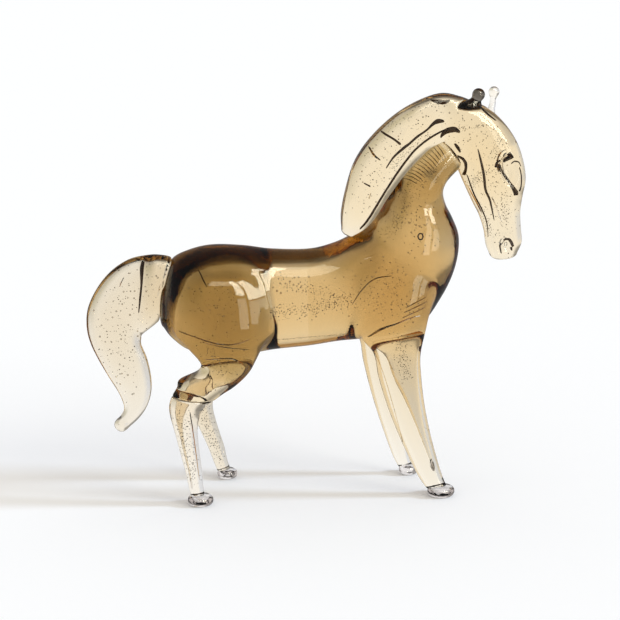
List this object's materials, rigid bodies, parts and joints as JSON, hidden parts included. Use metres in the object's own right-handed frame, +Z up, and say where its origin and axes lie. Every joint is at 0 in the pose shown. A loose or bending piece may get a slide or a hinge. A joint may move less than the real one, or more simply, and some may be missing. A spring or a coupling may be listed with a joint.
{
  "type": "horse figurine",
  "caption": "Standing horse in solid smoky amber and pale champagne glass, with an arched slab mane, a blade tail and bead hooves.",
  "frame": {"origin": "on the floor plane under the middle of the figurine's bounding box", "axes": "+X towards the muzzle, +Y to the horse's left side, +Z up; the flat soles lie on Z = 0"},
  "size_m": [0.127, 0.0318, 0.1195],
  "materials": {
    "smoky_amber": "fire polished, clear, smoky amber brown",
    "pale_champagne": "fire polished, clear, pale champagne"
  },
  "bodies": {
    "root": {"trunk": "smoky_amber", "neck": "smoky_amber", "head": "pale_champagne", "mane": "pale_champagne", "ear_right": "smoky_amber", "ear_left": "pale_champagne", "tail": "pale_champagne", "thigh_right": "smoky_amber", "thigh_left": "smoky_amber", "shank_right": "pale_champagne", "shank_left": "pale_champagne", "hoof_hind_right": "pale_champagne", "hoof_hind_left": "pale_champagne", "foreleg_right": "pale_champagne", "foreleg_left": "pale_champagne", "hoof_fore_right": "pale_champagne", "hoof_fore_left": "pale_champagne"}
  },
  "joints": []
}
